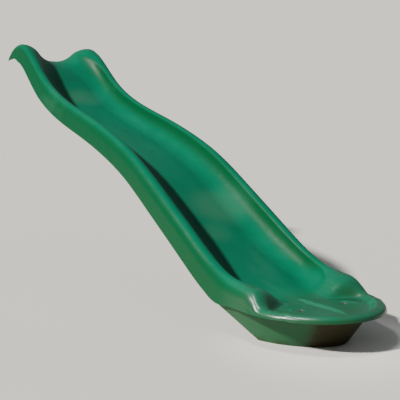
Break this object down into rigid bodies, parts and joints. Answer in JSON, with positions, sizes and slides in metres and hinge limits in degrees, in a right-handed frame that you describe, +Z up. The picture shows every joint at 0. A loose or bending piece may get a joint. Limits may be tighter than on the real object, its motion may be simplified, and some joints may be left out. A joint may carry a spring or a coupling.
{
  "type": "playground wave slide",
  "caption": "Moulded plastic wave slide with a trough chute, raised entry ears, end bumps, a ribbed exit lip and a hollow D-shaped foot bolted under the lip.",
  "frame": {"origin": "on the ground under the middle of the slide's length and width", "axes": "+X along the slide towards the exit lip, +Y across the slide, +Z up"},
  "size_m": [3.03, 0.5346, 1.321],
  "materials": {
    "chute_plastic": "satin moulded polyethylene, fine orange peel, slight dusting",
    "foot_plastic": "satin moulded polyethylene, duller and dustier than the chute",
    "insert_brass": "knurled, dull",
    "zinc_steel": "zinc plated",
    "sleeve_steel": "galvanised, dull"
  },
  "bodies": {
    "root": {"chute": "chute_plastic", "support_foot": "foot_plastic", "foot_inserts": "insert_brass", "foot_washers": "zinc_steel", "foot_bolts": "zinc_steel", "anchor_sleeves": "sleeve_steel", "deck_bushings": "sleeve_steel"}
  },
  "joints": []
}
